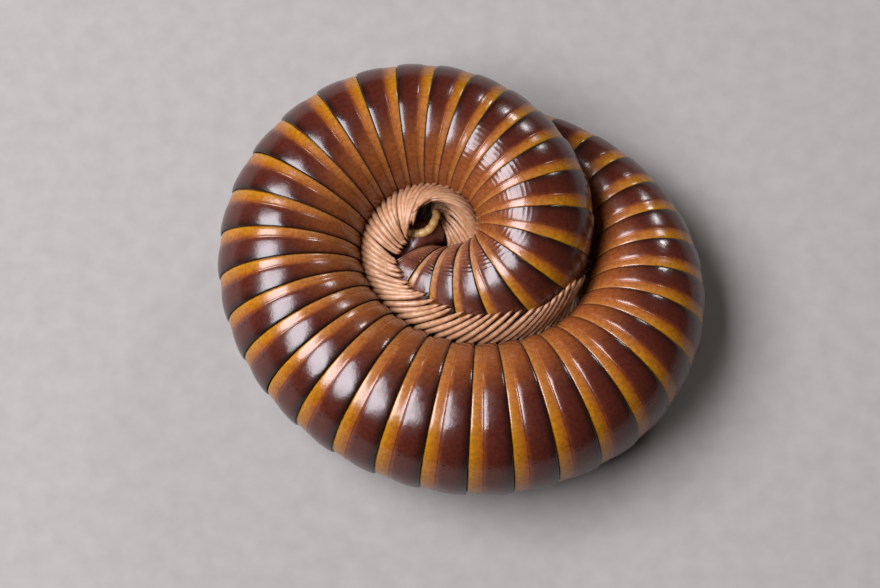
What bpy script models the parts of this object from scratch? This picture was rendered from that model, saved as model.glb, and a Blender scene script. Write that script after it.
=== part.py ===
"""Giant millipede lying on its left side, coiled a turn and a half round its own head, life size.

All named sizes are in millimetres and degrees; the meshes are made in metres, +Z up.
The animal winds counter-clockwise from the head in the middle to the tail on the outside.
Its back faces outward, its belly and legs face the middle, its right side faces up.
"""
import math

import bmesh
import bpy
import numpy as np

MM = 0.001
GAP = 0.3

# The coil: one value for every 40 degrees of turning, read as a smooth cubic curve
COIL_CENTRE = (-1.0, 2.1)
COIL_FIRST_ANGLE = 180.0
COIL_ANGLE_STEP = 40.0
COIL_REACH = (6.5, 4.4, 3.2, 2.8, 3.4, 6.1, 9.0, 10.8, 13.6, 15.7,
              16.6, 15.3, 15.5, 17.7, 20.7, 18.4, 16.7, 17.9, 21.7)
BODY_RADIUS = (3.8, 3.9, 4.1, 4.4, 4.9, 5.6, 5.9, 5.9, 6.3, 6.8,
               7.2, 7.3, 7.4, 7.5, 6.6, 4.5, 2.4, 1.2, 0.8)
LIFT_OFF_FLOOR = (2.1, 1.9, 2.0, 2.3, 2.7, 3.5, 4.4, 4.5, 3.5, 1.9,
                  0.5, 0.0, 0.0, 0.0, 0.0, 0.0, 0.0, 0.0, 0.0)
RINGS_PASSED = (-1.7, 0.0, 1.3, 2.0, 2.8, 5.1, 7.8, 10.6, 14.2, 17.7,
                21.5, 25.6, 28.6, 32.0, 36.5, 41.3, 44.5, 46.6, 47.6)

# The rings, as parts of one ring's length from its front line to the next line
SIDES_ROUND = 20
BELLY_SHARE = 0.9
COLLAR_END = 0.32
PLATE_START = 0.38
LIP_PLACE = 0.96
COLLAR_DEPTH = 0.22
LIP_RISE = 0.1
TRUNK_CUTS = (1, 12, 19, 25, 31, 38, 44)
COLLUM_ROWS = ((0.0, -0.9), (0.1, -0.35), (0.35, -0.05), (0.7, 0.0))
TELSON_ROWS = ((COLLAR_END, -COLLAR_DEPTH), (PLATE_START, 0.0), (0.8, 0.0), (1.1, -0.35), (1.3, -1.1))
TELSON_LENGTH = 1.2
SHARP_ANGLE = 35.0

# The legs: two pairs to a ring, swept back along the body and lying on the turn inside
LEG_ROWS_DOUBLE = (0.28, 0.76)
LEG_FIRST_PLACE = 0.5
LEG_EVEN_END = 9.0
LEG_EVEN_ROWS = 9
LEG_SPREAD = 6.0
LEG_ROOT_DEPTH = 0.7
LEG_STEM = 0.15
LEG_LENGTH_PER_GIRTH = 0.85
LEG_LENGTH_UNDERNEATH = 0.7
LEG_WIDTH = 0.52
LEG_TIP_SHARE = 0.7
LEG_STEPS = 3
LEG_SIDES = 4
LEG_CLEARANCE = 0.66
LEG_BORDER = 0.75
LEG_RISE = 1.0
LEG_RISE_END = -0.3
LEG_LIFT_WAY = 2.5
PUSHES = 20
PUSH_END = 0.01
SWEEP_ANGLES = (260.0, 300.0, 335.0, 360.0, 385.0, 408.0, 425.0, 445.0, 475.0, 505.0,
                545.0, 590.0, 640.0, 680.0, 720.0)
SWEEP_TURNS = (-42.0, -42.0, -12.0, 6.0, 26.0, 40.0, 24.0, 12.0, 12.0, 9.0,
               34.0, 46.0, 52.0, 60.0, 64.0)
CURL_ANGLES = (300.0, 335.0, 385.0, 410.0, 430.0, 460.0)
CURL_TURNS = (40.0, 60.0, 60.0, 50.0, 40.0, 30.0)
LENGTH_ANGLES = (240.0, 275.0, 300.0, 345.0, 380.0, 405.0, 425.0, 445.0, 480.0, 530.0, 570.0)
LENGTH_SHARES = (0.75, 1.0, 1.15, 1.15, 1.05, 0.85, 0.78, 0.95, 0.97, 0.9, 0.95)

# Where the coil's own turn lies on top, the legs of both rows tuck in low beneath it
TUCKED_ANGLES = (675.0, 705.0)
TUCKED_SPREAD = 12.0
TUCKED_DROP = 15.0

# The head, its eyes and its feelers, in the frame of the front ring: forward, outward, sideways
HEAD_START = -0.12
HEAD_LENGTH = 3.1
HEAD_LEAN = 3.0
HEAD_LEAN_AT_NECK = 0.3
HEAD_RADIUS_BACK = 3.0
HEAD_WIDTH = 3.4
HEAD_WIDEST = 0.3
HEAD_ROWS = (0.0, 0.15, 0.3, 0.5, 0.7, 0.87, 1.0)
HEAD_FULLNESS = 2.4
HEAD_SQUARENESS = 0.85
HEAD_FRONT_SIZE = 0.12
HEAD_KEEP_OUT = 2.9
EYE_PLACE = (0.55, -0.6, 3.2)
EYE_SIZE = (0.5, 0.32, 0.32)
FEELER_SIDES = 7
FEELER_PATH = ((2.0, -1.2, 3.52), (1.65, -1.45, 3.92), (1.15, -2.1, 4.07), (1.0, -2.8, 3.97),
               (1.2, -3.5, 3.8), (1.7, -4.1, 3.65))
FEELER_WIDTHS = (0.5, 0.62, 0.62, 0.66, 0.7, 0.45)


def curve_value(row, angle):
    """Uniform cubic curve guided by a row of values, read at an angle of the coil."""
    values = np.asarray(row, float)
    place = (np.asarray(angle, float) - COIL_FIRST_ANGLE) / COIL_ANGLE_STEP
    first = np.clip(np.floor(place).astype(int), 0, len(values) - 4)
    t = place - first
    return ((1 - t) ** 3 * values[first]
            + (3 * t ** 3 - 6 * t ** 2 + 4) * values[first + 1]
            + (-3 * t ** 3 + 3 * t ** 2 + 3 * t + 1) * values[first + 2]
            + t ** 3 * values[first + 3]) / 6


def unit(vectors):
    """Vectors scaled to length one along their last axis."""
    return vectors / np.linalg.norm(vectors, axis=-1, keepdims=True)


ANGLES = np.linspace(176.0, 800.0, 1400)
RADII = curve_value(BODY_RADIUS, ANGLES)
REACHES = curve_value(COIL_REACH, ANGLES)
MIDDLES = np.stack([COIL_CENTRE[0] + REACHES * np.cos(np.radians(ANGLES)),
                    COIL_CENTRE[1] + REACHES * np.sin(np.radians(ANGLES)),
                    RADII + curve_value(LIFT_OFF_FLOOR, ANGLES)], axis=-1)
BACKWARD = unit(np.gradient(MIDDLES, axis=0))
OUTWARD = unit(np.cross(BACKWARD, (0.0, 0.0, 1.0)))
RING_COUNTS = curve_value(RINGS_PASSED, ANGLES)
STEP_LENGTHS = np.linalg.norm(np.gradient(MIDDLES, axis=0), axis=1)
BENDS = np.gradient(np.unwrap(np.arctan2(BACKWARD[:, 1], BACKWARD[:, 0]))) / STEP_LENGTHS
BELLY_REACHES = BELLY_SHARE / np.maximum(BENDS, 0.01)


def along(rows, count):
    """Value of a dense row of the coil at a ring count."""
    return np.array([np.interp(count, RING_COUNTS, column) for column in np.atleast_2d(rows.T)])


def ring_frame(count):
    """Middle, backward, outward and sideways directions and radius of the body at a ring count."""
    middle = along(MIDDLES, count)
    backward = unit(along(BACKWARD, count))
    outward = unit(along(OUTWARD, count))
    return middle, backward, outward, np.cross(outward, backward), along(RADII, count)[0]


def tube_mesh(circles):
    """Closed tube through a list of equal circles of points, with flat ends."""
    points = np.concatenate(circles)
    sides = len(circles[0])
    faces = []
    for row in range(len(circles) - 1):
        for side in range(sides):
            after = (side + 1) % sides
            faces.append((row * sides + side, row * sides + after,
                          (row + 1) * sides + after, (row + 1) * sides + side))
    faces.append(tuple(reversed(range(sides))))
    faces.append(tuple((len(circles) - 1) * sides + side for side in range(sides)))
    return points, faces


def shade_round(mesh):
    """Smooth shading with the edges of the plates kept crisp."""
    mesh.shade_smooth()
    mesh.set_sharp_from_angle(angle=math.radians(SHARP_ANGLE))


def make_object(name, points, faces):
    """Mesh object in metres with its faces in threes and turned outward."""
    mesh = bpy.data.meshes.new(name)
    mesh.from_pydata((np.asarray(points) * MM).tolist(), [], faces)
    shape = bmesh.new()
    shape.from_mesh(mesh)
    bmesh.ops.triangulate(shape, faces=shape.faces[:])
    bmesh.ops.recalc_face_normals(shape, faces=shape.faces[:])
    shape.to_mesh(mesh)
    shape.free()
    shade_round(mesh)
    piece = bpy.data.objects.new(name, mesh)
    bpy.context.scene.collection.objects.link(piece)
    return piece


def ring_circle(count, swell):
    """Circle of points round the body at a ring count, grown by a swell and flattened on the floor."""
    middle, backward, outward, sideways, radius = ring_frame(count)
    turn = np.radians(np.arange(SIDES_ROUND) * 360.0 / SIDES_ROUND)
    out_reach = np.maximum((radius + swell) * np.cos(turn), -along(BELLY_REACHES, count)[0])
    points = middle + out_reach[:, None] * outward + ((radius + swell) * np.sin(turn))[:, None] * sideways
    points[:, 2] = np.maximum(points[:, 2], 0.0)
    return points


def cut_circle(count, swell, way):
    """End circle of a length, set half a gap from the line it shares with the next length."""
    return ring_circle(count, swell) + way * 0.5 * GAP * ring_frame(count)[1]


def trunk_length(name, first, last):
    """One length of the trunk: every ring has a sunk front collar and a raised plate with a lip."""
    circles = [cut_circle(first, -COLLAR_DEPTH, 1)]
    for ring in range(first, last):
        circles.append(ring_circle(ring + COLLAR_END, -COLLAR_DEPTH))
        circles.append(ring_circle(ring + PLATE_START, 0.0))
        circles.append(ring_circle(ring + LIP_PLACE, LIP_RISE))
        circles.append(ring_circle(ring + 1.0, -COLLAR_DEPTH))
    circles[-2:] = [cut_circle(last, LIP_RISE, -1)]
    return make_object(name, *tube_mesh(circles))


def keep_out_balls():
    """Balls that together fill the coil and the head, which the legs keep clear of."""
    head_middles = np.array([head_row(share) for share in (0.2, 0.4, 0.6, 0.8)])
    used = (RING_COUNTS > HEAD_START) & (RING_COUNTS < TRUNK_CUTS[-1] + TELSON_LENGTH)
    flattening = 0.5 * np.maximum(RADII - BELLY_REACHES, 0.0)[used]
    centres = np.concatenate([head_middles, MIDDLES[used] + OUTWARD[used] * flattening[:, None]])
    radii = np.concatenate([np.full(len(head_middles), HEAD_KEEP_OUT), RADII[used] - flattening])
    return centres, radii + LEG_CLEARANCE


def push_clear(point, upward, centres, radii):
    """Moves a point of a leg out of the body and the head, mostly upward or downward."""
    for _ in range(PUSHES):
        offsets = point - centres
        far = np.linalg.norm(offsets, axis=1)
        worst = int((radii - far).argmax())
        if radii[worst] <= far[worst] + PUSH_END:
            break
        way = unit(offsets[worst] / far[worst] + np.array((0.0, 0.0, upward * LEG_LIFT_WAY)))
        along_way = offsets[worst] @ way
        point = point + way * (math.sqrt(along_way ** 2 + radii[worst] ** 2 - far[worst] ** 2) - along_way)
    point[2] = max(point[2], LEG_WIDTH)
    return point


def leg_path(count, side, balls):
    """Middle line of one leg from inside the belly to its tip, swept back along the body."""
    middle, backward, outward, sideways, radius = ring_frame(count)
    angle = along(ANGLES, count)[0]
    tucked = np.interp(angle, TUCKED_ANGLES, (0.0, 1.0))
    upward = side + tucked * (-1 - side)
    spread = math.radians(side * (LEG_SPREAD + tucked * (TUCKED_SPREAD - LEG_SPREAD)) - tucked * TUCKED_DROP)
    belly = min(radius * math.cos(spread), along(BELLY_REACHES, count)[0])
    foot = math.sin(spread) * radius * sideways
    path = [middle + foot - (belly + depth) * outward for depth in (-LEG_ROOT_DEPTH, LEG_STEM)]
    sweep = np.interp(angle, SWEEP_ANGLES, SWEEP_TURNS)
    curl = np.interp(angle, CURL_ANGLES, CURL_TURNS)
    length = LEG_LENGTH_PER_GIRTH * radius * np.interp(angle, LENGTH_ANGLES, LENGTH_SHARES)
    if side < 0:
        length = LEG_LENGTH_UNDERNEATH * length
    for step in range(LEG_STEPS):
        part = (step + 0.5) / LEG_STEPS
        turn = math.radians(sweep + curl * (0.5 - part))
        rise = upward * (LEG_RISE + (LEG_RISE_END - LEG_RISE) * part)
        heading = unit(math.sin(turn) * backward - math.cos(turn) * outward + rise * sideways)
        path.append(push_clear(path[-1] + heading * length / LEG_STEPS, upward, *balls))
    return np.array(path)


def leg_mesh(path):
    """Closed four-sided leg along a path, tapering to a point."""
    ways = unit(np.gradient(path, axis=0))
    across = np.cross(ways[0], (0.0, 0.0, 1.0))
    turn = np.radians(np.arange(LEG_SIDES) * 360.0 / LEG_SIDES + 45.0)
    corners = np.stack([np.cos(turn), np.sin(turn)], axis=-1) * LEG_WIDTH / math.sqrt(2.0)
    circles = []
    for place, way, share in zip(path[:-1], ways[:-1], np.linspace(1.0, LEG_TIP_SHARE, len(path) - 1)):
        across = unit(across - way * (across @ way))
        over = np.cross(across, way)
        circles.append(place + share * (corners[:, :1] * across + corners[:, 1:] * over))
    points, faces = tube_mesh(circles)
    end = faces.pop()
    tip = len(points)
    faces += [(end[i], end[(i + 1) % LEG_SIDES], tip) for i in range(LEG_SIDES)]
    return np.concatenate([points, path[-1:]]), faces


def belly_point(count):
    """Point of the body's belly line at a ring count."""
    middle, _, outward, _, radius = ring_frame(count)
    return middle - min(radius, along(BELLY_REACHES, count)[0]) * outward


def even_counts():
    """Ring counts at even steps along the belly line where the coil is tight."""
    dense = np.linspace(TRUNK_CUTS[0] + LEG_FIRST_PLACE, LEG_EVEN_END, 400)
    line = np.array([belly_point(count) for count in dense])
    walked = np.concatenate([[0.0], np.cumsum(np.linalg.norm(np.diff(line, axis=0), axis=1))])
    return np.interp(np.linspace(0.0, walked[-1], LEG_EVEN_ROWS), walked, dense).tolist()


def leg_counts(first, last):
    """Ring counts of the leg pairs of a length, without the rows too near to the next length."""
    places = even_counts() if first < LEG_EVEN_END else []
    for ring in range(max(first, int(LEG_EVEN_END)), last):
        places += [ring + row for row in LEG_ROWS_DOUBLE]
    return [place for place in places if np.linalg.norm(belly_point(place) - belly_point(last)) > LEG_BORDER]


def join_shapes(body, pieces):
    """Unites a body with loose closed shapes and keeps the largest closed surface."""
    holder = bpy.data.collections.new(body.name + "_pieces")
    bpy.context.scene.collection.children.link(holder)
    for piece in pieces:
        bpy.context.scene.collection.objects.unlink(piece)
        holder.objects.link(piece)
    union = body.modifiers.new("union", "BOOLEAN")
    union.operation = "UNION"
    union.operand_type = "COLLECTION"
    union.collection = holder
    union.solver = "EXACT"
    evaluated = body.evaluated_get(bpy.context.evaluated_depsgraph_get())
    shaped = bpy.data.meshes.new_from_object(evaluated)
    body.modifiers.clear()
    body.data = shaped
    for piece in pieces:
        bpy.data.objects.remove(piece, do_unlink=True)
    bpy.data.collections.remove(holder)
    keep_largest(body)


def keep_largest(body):
    """Drops every closed surface of a mesh but the one with the most faces, in threes."""
    shape = bmesh.new()
    shape.from_mesh(body.data)
    bmesh.ops.triangulate(shape, faces=shape.faces[:])
    unseen = set(shape.faces)
    largest = []
    while unseen:
        island = []
        front = [unseen.pop()]
        while front:
            face = front.pop()
            island.append(face)
            for edge in face.edges:
                for other in edge.link_faces:
                    if other in unseen:
                        unseen.remove(other)
                        front.append(other)
        if len(island) > len(largest):
            largest = island
    kept = set(largest)
    bmesh.ops.delete(shape, geom=[face for face in shape.faces if face not in kept], context="FACES")
    shape.to_mesh(body.data)
    shape.free()
    shade_round(body.data)


def give_material(piece, name, colour, roughness):
    """Plain shell material of one part."""
    material = bpy.data.materials.new(name)
    material.use_nodes = True
    surface = material.node_tree.nodes["Principled BSDF"]
    surface.inputs["Base Color"].default_value = (*colour, 1.0)
    surface.inputs["Roughness"].default_value = roughness
    piece.data.materials.clear()
    piece.data.materials.append(material)


def head_row(share):
    """Middle of the head at a share of its length: rows lean toward the belly as they go forward."""
    middle, backward, outward, _, _ = ring_frame(HEAD_START)
    lean = HEAD_LEAN_AT_NECK + (1.0 - HEAD_LEAN_AT_NECK) * share
    return middle - backward * HEAD_LENGTH * share - outward * HEAD_LEAN * lean


def head_shape():
    """Head: a leaning dome of rounded square rows, widest a little before the neck."""
    _, _, outward, sideways, _ = ring_frame(HEAD_START)
    turn = np.radians(np.arange(SIDES_ROUND) * 360.0 / SIDES_ROUND)
    out = np.sign(np.cos(turn)) * np.abs(np.cos(turn)) ** HEAD_SQUARENESS * HEAD_RADIUS_BACK
    wide = np.sign(np.sin(turn)) * np.abs(np.sin(turn)) ** HEAD_SQUARENESS * HEAD_WIDTH
    circles = []
    for share in HEAD_ROWS:
        away = abs(share - HEAD_WIDEST) / (1.0 - HEAD_WIDEST)
        size = max(math.sqrt(max(1.0 - away ** HEAD_FULLNESS, 0.0)), HEAD_FRONT_SIZE)
        circles.append(head_row(share) + size * (out[:, None] * outward + wide[:, None] * sideways))
    return make_object("head", *tube_mesh(circles))


def eye_shape(side):
    """Eye patch: a low oval boss on the side of the head."""
    middle, backward, outward, sideways, _ = ring_frame(HEAD_START)
    ahead, out, up = EYE_PLACE
    place = middle - backward * ahead + outward * out + sideways * side * up
    ball = bmesh.new()
    bmesh.ops.create_icosphere(ball, subdivisions=1, radius=1.0)
    corners = np.array([tuple(corner.co) for corner in ball.verts])
    faces = [tuple(corner.index for corner in face.verts) for face in ball.faces]
    ball.free()
    points = place + corners * EYE_SIZE @ np.array([backward, outward, sideways])
    return make_object("eye", points, faces)


def feeler_shape(name, side):
    """Feeler: a slender tube that leaves the side of the head and curls toward the legs."""
    middle, backward, outward, sideways, _ = ring_frame(HEAD_START)
    path = np.array([middle - backward * ahead + outward * out + sideways * side * up
                     for ahead, out, up in FEELER_PATH])
    ways = unit(np.gradient(path, axis=0))
    turn = np.radians(np.arange(FEELER_SIDES) * 360.0 / FEELER_SIDES)
    circles = []
    for place, way, width in zip(path, ways, FEELER_WIDTHS):
        across = unit(np.cross(way, sideways))
        over = np.cross(across, way)
        circles.append(place + 0.5 * width * (np.cos(turn)[:, None] * across + np.sin(turn)[:, None] * over))
    return make_object(name, *tube_mesh(circles))


def collum_shape():
    """Collum: the smooth shield behind the head, rounded over at its front rim."""
    circles = [ring_circle(count, swell) for count, swell in COLLUM_ROWS]
    circles.append(cut_circle(1, LIP_RISE, -1))
    return make_object("collum", *tube_mesh(circles))


def telson_shape():
    """Last ring with the closing valves: a short dome behind the trunk."""
    start = TRUNK_CUTS[-1]
    circles = [cut_circle(start, -COLLAR_DEPTH, 1)]
    circles += [ring_circle(start + ahead, swell) for ahead, swell in TELSON_ROWS]
    return make_object("telson", *tube_mesh(circles))


for thing in list(bpy.data.objects):
    bpy.data.objects.remove(thing, do_unlink=True)

head = head_shape()
join_shapes(head, [eye_shape(side) for side in (1, -1)])
give_material(head, "head_shell", (0.11, 0.035, 0.022), 0.25)
for feeler_name, feeler_side in (("feeler_right", 1), ("feeler_left", -1)):
    give_material(feeler_shape(feeler_name, feeler_side), feeler_name + "_skin", (0.5, 0.27, 0.12), 0.4)
collum = collum_shape()
give_material(collum, "collum_shell", (0.1, 0.03, 0.02), 0.25)
balls = keep_out_balls()
for number, (first, last) in enumerate(zip(TRUNK_CUTS[:-1], TRUNK_CUTS[1:]), start=1):
    trunk = trunk_length(f"trunk_{number:02d}", first, last)
    legs = [make_object("leg", *leg_mesh(leg_path(count, side, balls)))
            for count in leg_counts(first, last) for side in (1, -1)]
    join_shapes(trunk, legs)
    give_material(trunk, f"trunk_{number:02d}_shell", (0.12, 0.035, 0.022), 0.25)
telson = telson_shape()
give_material(telson, "telson_shell", (0.11, 0.035, 0.022), 0.25)
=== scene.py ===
"""Looks of a giant millipede that lies coiled on its left side, its head in the middle of the coil.

Every piece is a surface worked out with numpy from the coil's own sizes, in millimetres, and put into
its mesh in metres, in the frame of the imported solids.
"""
import math

import bpy
import numpy as np
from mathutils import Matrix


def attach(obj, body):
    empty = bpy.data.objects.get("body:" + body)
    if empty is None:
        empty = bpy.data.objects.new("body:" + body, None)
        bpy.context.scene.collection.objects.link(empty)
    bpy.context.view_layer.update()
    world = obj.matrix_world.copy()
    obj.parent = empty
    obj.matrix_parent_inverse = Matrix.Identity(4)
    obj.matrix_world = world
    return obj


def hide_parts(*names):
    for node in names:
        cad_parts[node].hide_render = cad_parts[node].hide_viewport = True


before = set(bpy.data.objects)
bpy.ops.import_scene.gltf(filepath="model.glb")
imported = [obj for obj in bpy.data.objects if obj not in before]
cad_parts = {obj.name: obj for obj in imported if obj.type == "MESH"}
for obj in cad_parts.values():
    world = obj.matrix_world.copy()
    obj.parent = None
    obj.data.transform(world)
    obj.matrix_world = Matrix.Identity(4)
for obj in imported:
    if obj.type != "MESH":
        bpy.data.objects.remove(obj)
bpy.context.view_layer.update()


# Trunk rings
# The trunk is a row of telescoped rings of hard waxy chitin. Each has a sunk amber collar, a fine suture and
# a dark maroon plate whose rounded lip overhangs the next collar; fine grooves run along the lower flanks.
# One closed surface is made for each length of rings.

MM = 0.001
# The coil seen from above: its centre, then rows of values in mm, or rings, one for each step of its angle
COIL_CENTRE = (-1.0, 2.1)
COIL_FIRST_ANGLE = 180.0
COIL_ANGLE_STEP = 40.0
COIL_REACH = (6.5, 4.4, 3.2, 2.8, 3.4, 6.1, 9.0, 10.8, 13.6, 15.7,
              16.6, 15.3, 15.5, 17.7, 20.7, 18.4, 16.7, 17.9, 21.7)
BODY_RADIUS = (3.8, 3.9, 4.1, 4.4, 4.9, 5.6, 5.9, 5.9, 6.3, 6.8,
               7.2, 7.3, 7.4, 7.5, 6.6, 4.5, 2.4, 1.2, 0.8)
LIFT_OFF_FLOOR = (2.1, 1.9, 2.0, 2.3, 2.7, 3.5, 4.4, 4.5, 3.5, 1.9,
                  0.5, 0.0, 0.0, 0.0, 0.0, 0.0, 0.0, 0.0, 0.0)
RINGS_PASSED = (-1.7, 0.0, 1.3, 2.0, 2.8, 5.1, 7.8, 10.6, 14.2, 17.7,
                21.5, 25.6, 28.6, 32.0, 36.5, 41.3, 44.5, 46.6, 47.6)
COIL_START = 176.0
COIL_END = 800.0
COIL_ROWS = 1400
# The belly reaches at most this share of the way to the middle of its bend, and flattens softly there
BELLY_SHARE = 0.9
BELLY_SOFTNESS = 20.0
LEAST_BEND = 0.01
LEAST_REACH = 0.001
# Ring counts where one length of the trunk ends and the next starts
TRUNK_CUTS = (1, 12, 19, 25, 31, 38, 44)
# Radius of the full body and length of one ring, in mm
FULL_GIRTH = 7.0
RING_LENGTH = 2.3

# One ring's profile from its front line to the next: place along the ring, height over the girth in mm
RING_PROFILE = ((0.0, -0.32), (0.012, -0.22), (0.03, -0.16), (0.06, -0.13), (0.11, -0.115), (0.18, -0.105),
                (0.25, -0.1), (0.30, -0.095), (0.325, -0.075), (0.34, -0.06), (0.352, -0.078),
                (0.365, -0.05), (0.40, -0.01), (0.50, 0.025), (0.62, 0.05), (0.72, 0.06),
                (0.81, 0.058), (0.87, 0.047), (0.91, 0.032), (0.945, 0.013), (0.972, -0.006),
                (0.988, -0.025), (0.999, -0.06), (0.996, -0.13), (0.985, -0.22), (0.985, -0.32))
PLATE_START = 0.35
# Plates tilt a little against the collars: rise toward the lip in mm per ring, at ring counts
TILT_RINGS = (0.0, 2.0, 3.0, 4.0, 6.0, 8.0, 10.0, 23.0, 27.0, 31.0)
TILT_RISES = (-0.1, -0.3, -0.22, 0.0, 0.22, 0.18, 0.0, 0.02, 0.2, 0.1)
TILT_PIVOT = 0.65
# Grooves of the lower flanks: first and last turn from the back, spacing in mm, depth in mm, and the
# strength of the painted shade in them, which scales their depth too
FRONT_STRIAE = (88.0, 160.0, 0.46, 0.12, 1.0)
BACK_STRIAE = (101.0, 166.0, 0.3, 0.035, 0.4)
# They start behind the suture, deepen over a part of the ring, and end before the lip
STRIA_START = 0.36
STRIA_RUN_IN = 0.2
STRIA_STOP = 0.97
# Down the flank they deepen over some degrees, from a faint share, and they weaken from ring to ring
STRIA_LEAD = 2.0
STRIA_FADE = 16.0
STRIA_LEAST = 0.1
STRIA_RINGS = (4.0, 7.0)
STRIA_STRENGTHS = (1.0, 0.4)
# No two are equally deep: the faintest share, and the place of their banks as a share of the spacing
STRIA_FAINTEST = 0.35
STRIA_BANK = 0.36
STRIA_SEED = 3
# Columns of the smooth back and belly, and the degrees left free beside the grooves
BACK_COLUMNS = 75
BACK_MARGIN = 3.0
BELLY_COLUMNS = 11
BELLY_MARGIN = 2.0
# Painted sheen: the first rings and the collum are washed out toward pinkish tan, and their colour borders
# stand further on: ring counts and strengths
SHEEN_RINGS = (0.0, 3.0, 6.0)
SHEEN_SHARES = (1.0, 0.8, 0.0)
# Scent pores: one on each flank of a plate, at a turn from the back and a place along the ring
PORE_TURN = 38.0
PORE_PLACE = 0.5
PORE_RADIUS = 0.1


def curve_value(row, angle):
    """Value at angles of the coil, by a uniform cubic B-spline guided by four neighbours in the row."""
    values = np.asarray(row, float)
    place = (np.asarray(angle, float) - COIL_FIRST_ANGLE) / COIL_ANGLE_STEP
    first = np.clip(np.floor(place).astype(int), 0, len(values) - 4)
    t = place - first
    return ((1 - t) ** 3 * values[first]
            + (3 * t ** 3 - 6 * t ** 2 + 4) * values[first + 1]
            + (-3 * t ** 3 + 3 * t ** 2 + 3 * t + 1) * values[first + 2]
            + t ** 3 * values[first + 3]) / 6


def unit(vectors):
    """Vectors scaled to length one along their last axis."""
    return vectors / np.linalg.norm(vectors, axis=-1, keepdims=True)


ANGLES = np.linspace(COIL_START, COIL_END, COIL_ROWS)
RADII = curve_value(BODY_RADIUS, ANGLES)
REACHES = curve_value(COIL_REACH, ANGLES)
MIDDLES = np.stack([COIL_CENTRE[0] + REACHES * np.cos(np.radians(ANGLES)),
                    COIL_CENTRE[1] + REACHES * np.sin(np.radians(ANGLES)),
                    RADII + curve_value(LIFT_OFF_FLOOR, ANGLES)], axis=-1)
BACKWARD = unit(np.gradient(MIDDLES, axis=0))
OUTWARD = unit(np.cross(BACKWARD, (0.0, 0.0, 1.0)))
RING_COUNTS = curve_value(RINGS_PASSED, ANGLES)
BENDS = (np.gradient(np.unwrap(np.arctan2(BACKWARD[:, 1], BACKWARD[:, 0])))
         / np.linalg.norm(np.gradient(MIDDLES, axis=0), axis=1))
BELLY_REACHES = BELLY_SHARE / np.maximum(BENDS, LEAST_BEND)


def along(rows, counts):
    """Values of the coil's dense rows at ring counts, by straight interpolation."""
    if rows.ndim == 1:
        return np.interp(counts, RING_COUNTS, rows)
    return np.stack([np.interp(counts, RING_COUNTS, column) for column in rows.T], axis=-1)


def body_frame(counts):
    """Middle, backward, outward, sideways, radius and belly reach of the body at ring counts."""
    middle = along(MIDDLES, counts)
    backward = unit(along(BACKWARD, counts))
    outward = unit(along(OUTWARD, counts))
    sideways = np.cross(outward, backward)
    return middle, backward, outward, sideways, along(RADII, counts), along(BELLY_REACHES, counts)


def body_surface(counts, turns, heights):
    """Points round the body at ring counts and turn angles from the back.

    Each point stands radius plus height from the middle line. Toward the belly the outward part x is
    softly limited to the belly reach b as (x^-n + b^-n)^(-1/n), and nothing goes below the floor.
    """
    middle, _, outward, sideways, radius, belly = body_frame(counts)
    reach = radius[:, None] + heights
    out = reach * np.cos(turns)
    inward = np.maximum(-out, LEAST_REACH)
    limited = (inward ** -BELLY_SOFTNESS + belly[:, None] ** -BELLY_SOFTNESS) ** (-1.0 / BELLY_SOFTNESS)
    out = np.where(out < 0.0, -limited, out)
    points = (middle[:, None] + out[..., None] * outward[:, None]
              + (reach * np.sin(turns))[..., None] * sideways[:, None])
    points[..., 2] = np.maximum(points[..., 2], 0.0)
    return points


def closed_surface(name, grids, fields=None):
    """Mesh object of closed tubes, one for each grid of rows by columns of points in millimetres.

    Neighbouring columns and rows span quads, the columns close round, and a fan from the mean of each end
    row closes it. A tube whose signed volume is negative has its faces turned round. Fields are named
    arrays that spread over the points of each grid and are kept as point attributes.
    """
    corners, loops, sizes, base = [], [], [], 0
    values = {key: [] for key in fields or {}}
    for grid in grids:
        rows, columns = grid.shape[:2]
        ends = np.stack([grid[0].mean(axis=0), grid[-1].mean(axis=0)])
        points = np.concatenate([grid.reshape(-1, 3), ends])
        here = np.arange(rows * columns).reshape(rows, columns)
        after = np.roll(here, -1, axis=1)
        quads = np.stack([here[:-1], after[:-1], after[1:], here[1:]], axis=-1).reshape(-1, 4)
        start = np.stack([after[0], here[0], np.full(columns, rows * columns)], axis=-1)
        end = np.stack([here[-1], after[-1], np.full(columns, rows * columns + 1)], axis=-1)
        fans = np.concatenate([start, end])
        threes = np.concatenate([quads[:, [0, 1, 2]], quads[:, [0, 2, 3]], fans])
        a, b, c = (points[threes[:, side]] for side in range(3))
        if np.einsum("ij,ij->", a, np.cross(b, c)) < 0.0:
            quads, fans = quads[:, ::-1], fans[:, ::-1]
        corners.append(points)
        loops += [quads.ravel() + base, fans.ravel() + base]
        sizes += [np.full(len(quads), 4), np.full(len(fans), 3)]
        for key in values:
            field = np.broadcast_to(fields[key], (rows, columns))
            values[key].append(np.concatenate([field.ravel(), field[0, :1], field[-1, :1]]))
        base += len(points)
    corners = np.concatenate(corners) * MM
    loops = np.concatenate(loops)
    sizes = np.concatenate(sizes)
    mesh = bpy.data.meshes.new(name)
    mesh.vertices.add(len(corners))
    mesh.vertices.foreach_set("co", corners.ravel())
    mesh.loops.add(len(loops))
    mesh.loops.foreach_set("vertex_index", loops)
    mesh.polygons.add(len(sizes))
    mesh.polygons.foreach_set("loop_start", np.concatenate([[0], np.cumsum(sizes)[:-1]]))
    mesh.update(calc_edges=True)
    mesh.validate()
    for key, parts in values.items():
        attribute = mesh.attributes.new(key, "FLOAT", "POINT")
        attribute.data.foreach_set("value", np.concatenate(parts).astype(np.float32))
    mesh.shade_smooth()
    piece = bpy.data.objects.new(name, mesh)
    bpy.context.scene.collection.objects.link(piece)
    return piece


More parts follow.
